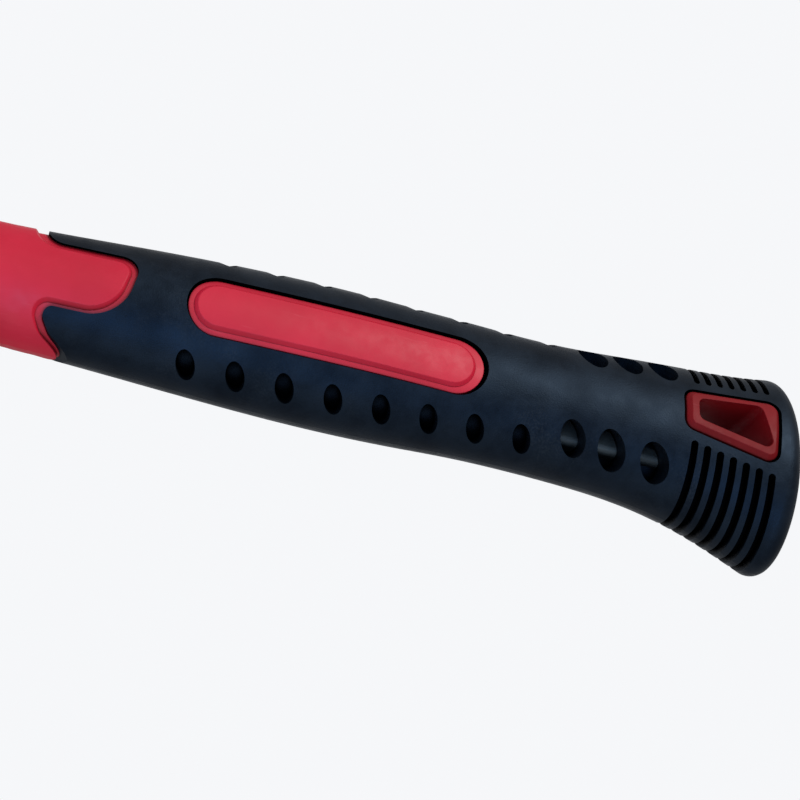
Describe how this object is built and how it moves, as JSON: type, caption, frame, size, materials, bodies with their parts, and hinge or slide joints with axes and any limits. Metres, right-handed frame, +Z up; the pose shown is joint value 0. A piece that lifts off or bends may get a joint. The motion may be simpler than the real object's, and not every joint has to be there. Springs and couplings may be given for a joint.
{
  "type": "splitting maul",
  "caption": "Splitting maul: forged wedge head on a fibreglass handle with a soft ribbed grip, side panels, grip holes and a hang eyelet.",
  "frame": {"origin": "on the flat crown of the head, where the eye's axis leaves it", "axes": "+Z up the handle to the knob, +X to the cutting edge, Y across the head"},
  "size_m": [0.19, 0.0592, 0.8981],
  "materials": {
    "forged_steel": "black paint with bare ground bit and poll",
    "resin": "satin amber",
    "dam_rubber": "matte",
    "fibreglass": "satin, fibres lengthways",
    "red_plastic": "satin moulded",
    "black_rubber": "matte, fine grain"
  },
  "bodies": {
    "root": {"maul_head": "forged_steel", "eye_resin": "resin", "eye_dam": "dam_rubber", "fibreglass_core": "fibreglass", "handle_jacket": "red_plastic", "overstrike_collar": "black_rubber", "grip_sleeve": "black_rubber", "side_panel_left": "red_plastic", "side_panel_right": "red_plastic", "hang_eyelet": "red_plastic"}
  },
  "joints": []
}
